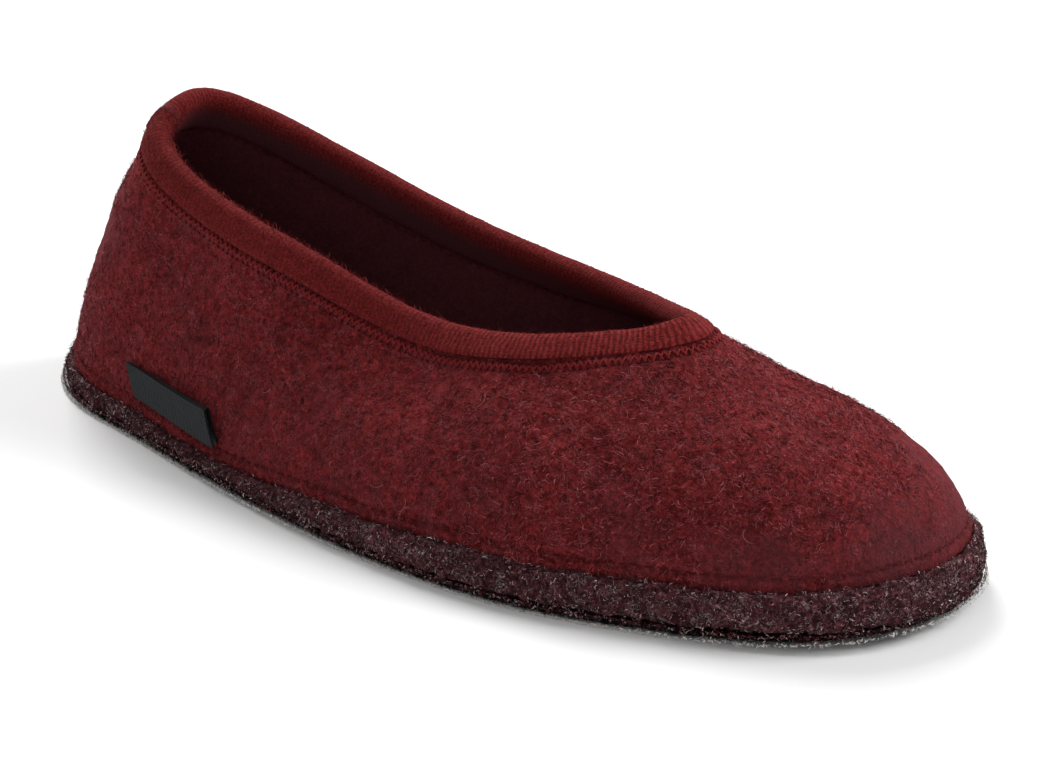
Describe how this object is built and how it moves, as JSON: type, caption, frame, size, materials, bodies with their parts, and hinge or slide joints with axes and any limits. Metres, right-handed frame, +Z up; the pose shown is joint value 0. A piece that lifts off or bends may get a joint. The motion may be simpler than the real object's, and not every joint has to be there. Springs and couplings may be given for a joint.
{
  "type": "felt slipper",
  "caption": "Low closed felt house slipper with a bound collar, a thick felt sole and a bare side label, right foot.",
  "frame": {"origin": "on the floor, under the middle of the slipper's box", "axes": "+X to the toe, +Y to the inner side of the foot, +Z up"},
  "size_m": [0.2564, 0.0994, 0.0763],
  "materials": {
    "upper": "heathered boiled wool felt, burgundy, fuzzy",
    "sole": "heathered thick felt, plum with grey flecks",
    "tread": "latex dipped felt, matte black with a pale fringe",
    "insole": "smooth felt, dark wine red",
    "binding": "ribbed wool knit, red",
    "label": "woven ribbon, charcoal, bare"
  },
  "bodies": {
    "root": {"upper": "upper", "sole": "sole", "tread": "tread", "insole": "insole", "binding": "binding", "label": "label"}
  },
  "joints": []
}
